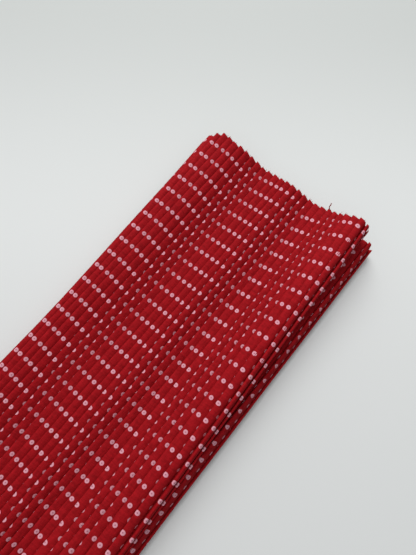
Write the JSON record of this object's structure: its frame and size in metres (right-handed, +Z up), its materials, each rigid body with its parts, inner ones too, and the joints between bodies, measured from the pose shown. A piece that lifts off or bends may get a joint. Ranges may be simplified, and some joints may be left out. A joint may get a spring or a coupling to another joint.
{
  "type": "folded length of pleated polka dot poplin",
  "caption": "Half-metre cut of red poplin with pale printed spots, set in narrow knife pleats and folded back and forth into a flat bundle.",
  "frame": {"origin": "on the table, under the middle of the folded bundle", "axes": "+Y along the pleats towards the cut end that lies highest, +X across the bundle towards the side with the ridge, +Z up"},
  "size_m": [0.1345, 0.5, 0.0286],
  "materials": {
    "red_poplin": "plain-woven cotton, matt, with a faint sheen on the pleat edges",
    "spot_print": "matt pale print soaked into the weave, faintly tinted by the red below"
  },
  "bodies": {
    "root": {"pleated_cloth": "red_poplin"}
  },
  "joints": []
}
